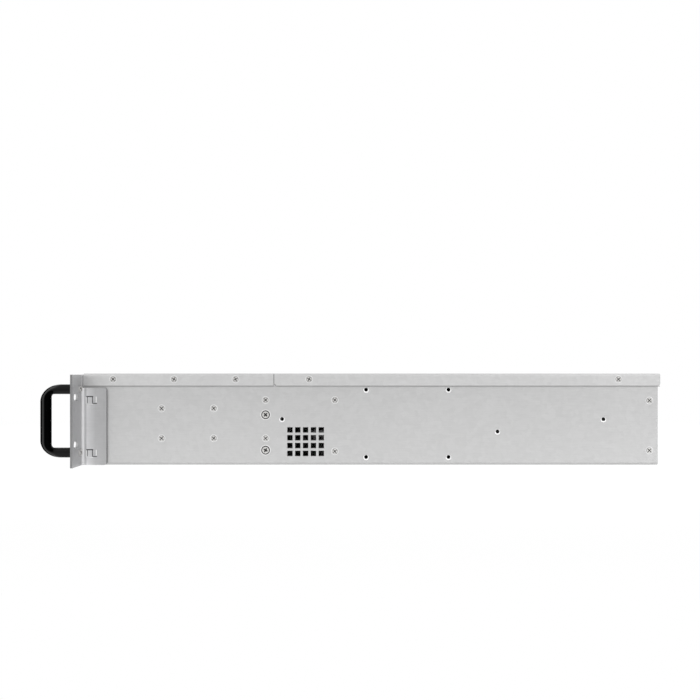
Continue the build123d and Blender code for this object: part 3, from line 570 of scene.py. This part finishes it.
# The handle is moulded black plastic, a rounded bar bent to a U, with a painted sheen, a glossy coat along
# the front corners of its section.
# It stands on the right ear and is held by two screws through the ear from behind.
def moulded(name, tone, rough, grain, depth, shine=0.5, painted_sheen=None):
    """Moulded plastic: an even colour with slight clouding and the fine pits of the mould. A painted sheen, a glossy
    coat, lies where the sheen mask is high."""
    material, tree, place = blank(name)
    pits = place.noise(grain, 3.0)
    cloud = place.noise(40.0)
    light = tuple(min(1.0, part * 1.35 + 0.0005) for part in tone[:3]) + (1.0,)
    bump = tree.add("ShaderNodeBump", None, {"Strength": depth, "Distance": 0.0002, "Height": pits,
                                             "Normal": rounded(tree, 0.3)})
    sockets = {"Base Color": (0.6 * cloud + 0.25 * pits).mix(tone, light), "Roughness": rough - 0.05 + 0.12 * cloud,
               "Specular IOR Level": shine, "Normal": bump}
    # Painted sheen: a glossy coat where the mask is high.
    if painted_sheen is not None:
        sockets |= {"Coat Weight": painted_sheen(place), "Coat Roughness": 0.25}
    tree.skin(sockets)
    return material


def painted_sheen_band(place):
    """Painted sheen: 1 along the front corners of the handle's section, where the normal leans 0.11 forward."""
    lean = place.add("ShaderNodeNewGeometry", out="Normal").part("Y")
    return abs(lean + 0.11).ramp(0.05, 0.14, 1.0, 0.0)


handle_black = moulded("handle_black", tint(3, 3, 4), 0.3, 2200.0, 0.03, shine=0.012, painted_sheen=painted_sheen_band)
handle_low, handle_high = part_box("right_handle")
handle_middle = (handle_low + handle_high) / 2
arm_thick, bar_thick, half_wide = 9.3 * MM, 9.5 * MM, 4.5 * MM


def handle_side(front, low, reach, rise):
    """One side of the loop in y and z, from the lower end at the ear to the upper one: an arm, a quarter of an
    ellipse that reaches so far back and rises so far, the bar, and the same mirrored about the middle height."""
    turn = np.linspace(0, math.pi / 2, 16)[1:-1]
    arm = np.stack([np.linspace(handle_high.y, front + reach, 8), np.full(8, low)], -1)
    bend = np.stack([front + reach - reach * np.sin(turn), low + rise - rise * np.cos(turn)], -1)
    bar = np.stack([np.full(10, front), np.linspace(low + rise, handle_middle.z, 10)], -1)
    half = np.concatenate([arm, bend, bar])
    return np.concatenate([half, half[-2::-1] * (1, -1) + (0, 2 * handle_middle.z)])


# The section of the bar is a superellipse between the two sides: each measure is the cosine or the sine of a turn,
# raised to 2 over the power that makes it squarer than a circle.
outer = handle_side(handle_low.y, handle_low.z, 19.0 * MM, 16.5 * MM)
inner = handle_side(handle_low.y + bar_thick, handle_low.z + arm_thick, 2.6 * MM, 2.6 * MM)
spokes, square = 36, 2.7
turn = np.arange(spokes) * 2 * math.pi / spokes
round_u = np.sign(np.cos(turn)) * np.abs(np.cos(turn)) ** (2 / square)
round_v = np.sign(np.sin(turn)) * np.abs(np.sin(turn)) ** (2 / square)
flat = (outer + inner)[:, None] / 2 + round_u[:, None] * (outer - inner)[:, None] / 2
across = np.broadcast_to(handle_middle.x + half_wide * round_v, flat.shape[:2])
rows = np.concatenate([across[..., None], flat], -1)
handle = build("handle_loop", (rows.reshape(-1, 3), sleeve(len(rows), spokes)), handle_black, "chassis", crease=60.0)
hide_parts("right_handle")

handle_x = handle_middle.x / MM
ends = [(handle_x, (handle_low.z + arm_thick / 2) / MM), (handle_x, (handle_high.z - arm_thick / 2) / MM)]
screws("handle_screws", stamp(screw_head(3.3, crown=1.5), "rear", 0.0, ends, 0.4))

# The control block is a dark grey moulding with a fine spark-eroded skin, clipped in front of the left ear.
# It carries a round power button, a small reset button, five lamps and two upright data sockets.
block_plastic = moulded("block_plastic", tint(56, 57, 60), 0.55, 1500.0, 0.55)
dress(block_plastic, "control_block")
button_plastic = moulded("button_plastic", tint(38, 39, 42), 0.35, 2600.0, 0.08)
dress(button_plastic, "power_button", "reset_button")

sign_white = clouded("sign_white", tint(205), tint(225), 3000.0, 0.5)
power_low, power_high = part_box("power_button")
power_middle = (power_low + power_high) / 2
turn = np.linspace(math.radians(128), math.radians(412), 40)
arc = np.stack([2.1 * np.cos(turn), 2.1 * np.sin(turn), 0 * turn], -1)
bar = straight((0, 0.5), (0, 2.7))
sign = [put(rod_along(line, 0.2), "front", power_middle.x, power_low.y, power_middle.z) for line in (arc, bar)]
build("power_sign", gather(sign), sign_white, "power_button")

block_low, block_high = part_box("control_block")
lens_clear = clouded("lens_clear", tint(150, 176, 160), tint(182, 200, 186), 900.0, 0.18, coat=0.5)
lens = spun([(0, 0), (0.95, 0), (0.95, 0.12), (0.8, 0.3), (0.45, 0.42), (0, 0.46)], 28)
lamps = [put(lens, "front", block_high.x - 3.4 * MM, block_low.y, block_low.z + (26.5 + 5.0 * number) * MM)
         for number in range(5)]
build("block_lamps", gather(lamps), lens_clear, "chassis")


def outline(width, height, corner, count=10):
    """A rounded rectangle in u and v: four quarter circles joined by straight sides."""
    turn = np.linspace(0, math.pi / 2, count)
    quarter = np.stack([np.cos(turn), np.sin(turn)], -1) * corner
    shift = np.array([width / 2 - corner, height / 2 - corner])
    parts = [quarter * (1, 1) + shift, quarter[::-1] * (-1, 1) + shift * (-1, 1), quarter * (-1, -1) - shift,
             quarter[::-1] * (1, -1) + shift * (1, -1)]
    return np.concatenate(parts)


def collar(loop, border, height):
    """A raised rim round a loop of u and v: the loop carried up, outwards over the border, down and back again."""
    outward = loop - loop.mean(0)
    outward /= np.linalg.norm(outward, axis=1)[:, None]
    steps = [(0.0, 0.0), (0.0, 0.8), (0.2, 1.0), (0.8, 1.0), (1.0, 0.8), (1.0, 0.0)]
    rows = [np.concatenate([loop + outward * border * out, np.full((len(loop), 1), height * up)], 1)
            for out, up in steps]
    return np.concatenate(rows), net(len(steps), len(loop), closed=True)[:, ::-1]


socket_shell = sheet_metal("socket_shell", tint(200, 200, 202), rough=0.3, metal=0.9)
socket_rim = collar(outline(5.4, 13.2, 0.8), 0.5, 0.25)
socket_x = (block_low.x + block_high.x) / 2
socket_rims = [put(socket_rim, "front", socket_x, block_low.y, height * MM) for height in (12.0, 27.6)]
build("socket_rims", gather(socket_rims), socket_shell, "chassis")

# The duct is a thin folded cover of zinc-coated sheet over the lead from the control block, screwed to the wall.
# The clip at the ear is black plastic with a small steel tip, and holds the lead.
duct_zinc = sheet_metal("duct_sheet", tint(199, 199, 198), rough=0.46)
dress(duct_zinc, "cable_duct")
clip_black = moulded("black_plastic", tint(30, 30, 32), 0.4, 2000.0, 0.2)
dress(clip_black, "ear_clip")
clip_low, clip_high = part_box("ear_clip")
tip = spun([(0, 0), (0.9, 0), (1.0, 0.25), (0.9, 0.5), (0.5, 0.7), (0, 0.75)], 28)
tip = put(tip, "left", clip_low.x, (clip_low.y + clip_high.y) / 2, clip_high.z - 1.6 * MM)
tip_steel = sheet_metal("clip_steel", tint(215), rough=0.3, metal=0.9)
build("clip_tip", tip, tip_steel, "chassis")

# The shelves, dividers and frames inside are plain zinc-coated sheet, folded and screwed to the tub.
# They are less handled and a little duller than the case, as are the rear panel and its slot covers.
inner_zinc = sheet_metal("inner_sheet", tint(186, 187, 186), rough=0.5)
dress(inner_zinc, "drive_shelves", "bay_dividers", "backplane_bracket", "fan_wall", "rear_panel", "slot_covers",
      "slot_bar", "psu_cage", "io_shield")

# Each drive tray is a black moulded carrier with a punched steel screen, and slides on its shelf.
# The lever in front is dark grey plastic, ribbed where a finger pulls it, with two small lamps.
tray_black = moulded("tray_black", tint(30, 30, 32), 0.5, 1800.0, 0.3)
lever_grey = moulded("lever_plastic", tint(58, 59, 62), 0.45, 1700.0, 0.3)
screen_black = sheet_metal("screen_black", tint(60, 60, 62), rough=0.5, metal=0.4)


def hex_screen(width, height, pitch, hole, thick, lip=0.3):
    """A punched screen in u and v: on each point of a triangular grid, six quads between a hexagon and a smaller
    one, its hole. Hexagons past the border are drawn back to it and holes to a lip inside it, and a hole that
    keeps less than a third of its area is left out. Points that meet become one. The same sheet lies turned over
    a thickness lower, and a wall stands on each edge that only one quad has."""
    step = pitch * math.sqrt(3) / 2
    columns = int(width / pitch) + 2
    rows = int(height / step) + 2
    border = np.array([width, height]) / 2
    i, j = np.meshgrid(np.arange(columns) - columns // 2, np.arange(rows) - rows // 2)
    centre = np.stack([(i + 0.5 * (j % 2)) * pitch, j * step], -1).reshape(-1, 1, 2)
    turn = (np.arange(6) + 0.5) * math.pi / 3
    spoke = np.stack([np.cos(turn), np.sin(turn)], -1)

    def drawn(reach, lip):
        """Six points round each centre, drawn back to the border less a lip."""
        return np.clip(centre + spoke * reach, lip - border, border - lip)

    outer, inner = drawn(pitch / math.sqrt(3), 0), drawn(hole / 2, lip)
    after = np.roll(inner, -1, 1)
    area = (inner[..., 0] * after[..., 1] - inner[..., 1] * after[..., 0]).sum(1) / 2
    small = area < 0.22 * hole ** 2
    inner[small] = outer[small].mean(1, keepdims=True)
    flat, spot = np.unique(np.concatenate([outer, inner], 1).reshape(-1, 2).round(4), axis=0, return_inverse=True)
    here = np.arange(6)
    after = (here + 1) % 6
    quads = spot.reshape(-1, 12)[:, np.stack([here, after, 6 + after, 6 + here], -1)].reshape(-1, 4)
    first, second = flat[quads[:, 2]] - flat[quads[:, 0]], flat[quads[:, 3]] - flat[quads[:, 1]]
    quads = quads[first[:, 0] * second[:, 1] - first[:, 1] * second[:, 0] > 1e-3]
    used, quads = np.unique(quads, return_inverse=True)
    flat, quads, count = flat[used], quads.reshape(-1, 4), len(used)
    ends = np.stack([quads, np.roll(quads, -1, 1)], -1).reshape(-1, 2)
    ends = ends[ends[:, 0] != ends[:, 1]]
    lone = ends[~np.isin(ends[:, 0] * count + ends[:, 1], ends[:, 1] * count + ends[:, 0])]
    walls = np.stack([lone[:, 1], lone[:, 0], lone[:, 0] + count, lone[:, 1] + count], -1)
    points = np.concatenate([np.c_[flat, np.full(count, thick)], np.c_[flat, np.zeros(count)]])
    faces = np.concatenate([quads, quads[:, ::-1] + count, walls])
    return points, [list(dict.fromkeys(face)) for face in faces.tolist()]


side_room, height_room, screen_back = 5.0, 3.4, 6.3 * MM
first_rib, rib_pitch, rib_half, rib_back = 11.0, 1.0, 7.5, 1.15 * MM
lever_lens = spun([(0, 0), (1.1, 0), (1.1, 0.04), (0.9, 0.1), (0.5, 0.15), (0, 0.16)], 24)
for number in range(1, 13):
    tray = f"drive_tray_{number}"
    lever = f"tray_lever_{number}"
    dress(tray_black, tray)
    dress(lever_grey, lever)
    low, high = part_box(tray)
    middle = (low + high) / 2
    screen = hex_screen((high.x - low.x) / MM - side_room, (high.z - low.z) / MM - height_room, 4.6, 4.0, 0.6)
    screen = put(screen, "front", middle.x, low.y + screen_back, middle.z)
    build(f"tray_screen_{number}", screen, screen_black, f"tray_{number}", crease=20.0)
    low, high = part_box(lever)
    ribs = []
    for rib in range(5):
        across = high.x / MM - first_rib + rib_pitch * rib
        line = straight((across, -rib_half), (across, rib_half), 8)
        ribs.append(put(rod_along(line, 0.28, 10), "front", 0, low.y + rib_back, middle.z))
    build(f"lever_ribs_{number}", gather(ribs), tray_black, f"lever_{number}")
    lamps = [put(lever_lens, "front", high.x - 3.0 * MM, low.y, middle.z + drop * MM) for drop in (-6.0, 6.0)]
    build(f"lever_lamps_{number}", gather(lamps), lens_clear, f"lever_{number}")

# The main board and the backplane are green laminate with fine copper tracks and pads under the solder mask.
# The board stands on turned brass pillars, and the backplane hangs on its bracket behind the drives.
board_green, tree, place = blank("circuit_board")
tracks = tree.add("ShaderNodeTexBrick", {"offset": 0.5}, {"Vector": place, "Scale": 160.0, "Mortar Size": 0.06,
                                                        "Color1": tint(20, 78, 48), "Color2": tint(26, 92, 56),
                                                        "Mortar": tint(58, 128, 84)}, "Color")
pads = tree.add("ShaderNodeTexVoronoi", None, {"Vector": place, "Scale": 130.0}, "Distance")
bump = tree.add("ShaderNodeBump", None, {"Strength": 0.2, "Distance": 0.0002, "Height": pads})
tree.skin({"Base Color": (pads < 0.12).mix(tracks, tint(176, 160, 104)), "Roughness": 0.4, "Normal": bump})
dress(board_green, "motherboard", "backplane")
brass = sheet_metal("brass_standoffs", tint(206, 172, 98), rough=0.35, metal=0.95)
dress(brass, "board_standoffs")

# The slots for memory and cards are black mouldings, and the fan frames are moulded from the same sort of plastic.
# The processor sockets and the connector block have bright tinned steel shells, and the heat sink is cut aluminium.
slot_plastic = moulded("slot_plastic", tint(40, 40, 44), 0.45, 1500.0, 0.2)
dress(slot_plastic, "board_slots", "fan_frames")
bright_steel = sheet_metal("port_steel", tint(206, 206, 208), rough=0.32, metal=0.92)
dress(bright_steel, "processor_sockets", "rear_ports")
aluminium = sheet_metal("sink_aluminium", tint(208, 209, 212), rough=0.38, metal=0.92)
dress(aluminium, "heat_sink")

# The fan rotors are glossier black plastic, each a hub moulded in one with its blades.
# They turn on a spindle in the frame of their fan.
rotor_black = moulded("rotor_plastic", tint(32, 32, 34), 0.35, 1800.0, 0.15)
dress(rotor_black, "fan_rotor_1", "fan_rotor_2", "fan_rotor_3")


# The ports at the rear are tinned shells with black plastic floors and blue tongues, soldered to the edge of the
# board. Two network jacks sit over pairs of flat sockets, and four more flat ones and a display socket lie beside.
def slab(loop, foot, head):
    """A flat closed block over a loop of u and v, from one height to another, its ends closed round a pole."""
    ends = [np.append(loop.mean(0), height)[None] for height in (foot, head)]
    rows = [np.concatenate([loop, np.full((len(loop), 1), height)], 1) for height in (foot, head)]
    return np.concatenate([ends[0], *rows, ends[1]]), with_poles(2, len(loop))


port_dark = moulded("port_dark", tint(26, 26, 28), 0.5, 1600.0, 0.2)
tongue_blue = moulded("tongue_plastic", tint(44, 84, 140), 0.45, 1600.0, 0.2)
ports_low, ports_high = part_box("rear_ports")


def mount(x, height, *pairs):
    """Puts shapes on the rear of the connector block, each into its list, at a place across in metres and a height
    over the block's foot in millimetres."""
    for made, shape in pairs:
        made.append(put(shape, "rear", x, ports_high.y, ports_low.z + height * MM))


shells, floors, tongues, jack_lamps = [], [], [], []
flat_port = outline(13.2, 5.6, 0.7)
jack = outline(12.0, 9.6, 0.8)
tongue = outline(10.6, 1.8, 0.3) + (0, 0.9)
for column in range(2):
    x = ports_high.x - (51.0 - 18.0 * column) * MM
    for height in (4.1, 11.6):
        mount(x, height, (shells, collar(flat_port, 0.5, 2.6)), (floors, slab(flat_port, 0.0, 0.05)),
              (tongues, slab(tongue, 0.05, 2.2)))
    jack_height = 22.4
    mount(x, jack_height, (shells, collar(jack, 1.6, 2.8)), (floors, slab(jack, 0.0, 0.05)))
    for number in range(8):
        contact = outline(0.5, 2.6, 0.1) + (1.02 * number - 3.57, 3.2)
        mount(x, jack_height, (shells, slab(contact, 0.05, 1.6)))
    for side in (-1, 1):
        corner = outline(2.4, 1.6, 0.3) + (side * 4.4, -3.6)
        mount(x, jack_height, (jack_lamps, slab(corner, 0.05, 2.4)))
low_height = 7.0
for number in range(4):
    x = ports_low.x + (4.0 + 6.7 + 17.4 * number) * MM
    mount(x, low_height, (shells, collar(outline(13.4, 6.0, 0.5), 0.5, 1.2)), (tongues, slab(tongue, -11.9, -1.5)))
display = outline(14.2, 5.4, 1.2)
display[:, 0] *= 1 + 0.05 * display[:, 1]
mount(ports_high.x - 12.0 * MM, low_height, (shells, collar(display, 0.5, 2.6)),
      (floors, slab(display, 0.0, 0.05)), (floors, slab(outline(11.0, 1.4, 0.3), 0.05, 2.0)))
for piece, parts, finish in (("port_shells", shells, socket_shell), ("port_floors", floors, port_dark),
                             ("port_tongues", tongues, tongue_blue), ("jack_lamps", jack_lamps, lens_clear)):
    build(piece, gather(parts), finish, "chassis")

# Behind the row of square vents over the ports lies a strip of punched steel screen.
# It is spot-welded to the inside of the rear panel.
vent_strip = put(hex_screen(143.0, 14.0, 3.6, 3.0, 0.5), "rear", ports_high.x - 63.0 * MM, 0.5484, 0.06375)
build("vent_screen", vent_strip, inner_zinc, "chassis", crease=20.0)

# Small zinc-plated screws hold the rear panel.
# They go into the cage of the modules, into the bar over the card openings and into the tub's corner.
bar_low, bar_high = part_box("slot_bar")
panel_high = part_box("rear_panel")[1]
cage_x, corner_x, upper_z, lower_z = 133.0, -200.0, 78.4, 7.5
upper = [cage_x, bar_high.x / MM - 4.0, (bar_low.x + bar_high.x) / 2 / MM, bar_low.x / MM + 4.0, corner_x]
places = [(across, upper_z) for across in upper] + [(across, lower_z) for across in (cage_x, corner_x)]
screws("rear_screws", stamp(small_head, "rear", panel_high.y, places, 0.4))

# The power modules slide in from the rear: zinc cases with a mains inlet, a bail and a fan behind a screen.
# The inlet is a black moulding with a shroud round three flat steel pins, and a small lamp shows beside it.
module_zinc = sheet_metal("module_steel", tint(194), rough=0.42)
latch_green = moulded("latch_plastic", tint(64, 132, 96), 0.4, 1800.0, 0.2)
module_rear, screen_out, inlet_depth = 0.530, 0.1 * MM, 14.0 * MM
module_lens = spun([(0, 0), (1.3, 0), (1.3, 0.2), (1.0, 0.5), (0.5, 0.65), (0, 0.7)], 28)
for number in (1, 2):
    module = f"psu_module_{number}"
    body = f"psu_{number}"
    dress(module_zinc, module)
    dress(latch_green, f"psu_latch_{number}")
    low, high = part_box(module)
    middle = (low.z + high.z) / 2
    vent_x, inlet_x, lamp_x = low.x + 49.3 * MM, low.x + 21.5 * MM, low.x + 4.0 * MM
    inlet_y = module_rear - inlet_depth
    shadow = put(slab(outline(27.0, 33.0, 0.5), 0.0, 0.1), "rear", vent_x, module_rear, middle)
    build(f"module_shadow_{number}", shadow, hole_shade, body)
    screen = put(hex_screen(27.4, 33.4, 3.8, 3.3, 0.4), "rear", vent_x, module_rear + screen_out, middle)
    build(f"module_screen_{number}", screen, module_zinc, body, crease=20.0)
    shroud = [slab(outline(26.8, 19.8, 0.6), 0.05, 1.0), collar(outline(22.0, 14.4, 3.0), 1.4, 12.5)]
    shroud = [put(shape, "rear", inlet_x, inlet_y, middle) for shape in shroud]
    build(f"inlet_shroud_{number}", gather(shroud), port_dark, body)
    pins = [slab(outline(2.0, 4.2, 0.5) + place, 1.0, 10.5) for place in ((-6.5, 1.0), (0, -2.4), (6.5, 1.0))]
    pins = [put(shape, "rear", inlet_x, inlet_y, middle) for shape in pins]
    build(f"inlet_pins_{number}", gather(pins), socket_shell, body)
    lens = put(module_lens, "rear", lamp_x, module_rear, middle + 8.0 * MM)
    build(f"module_lamp_{number}", lens, lens_clear, body)
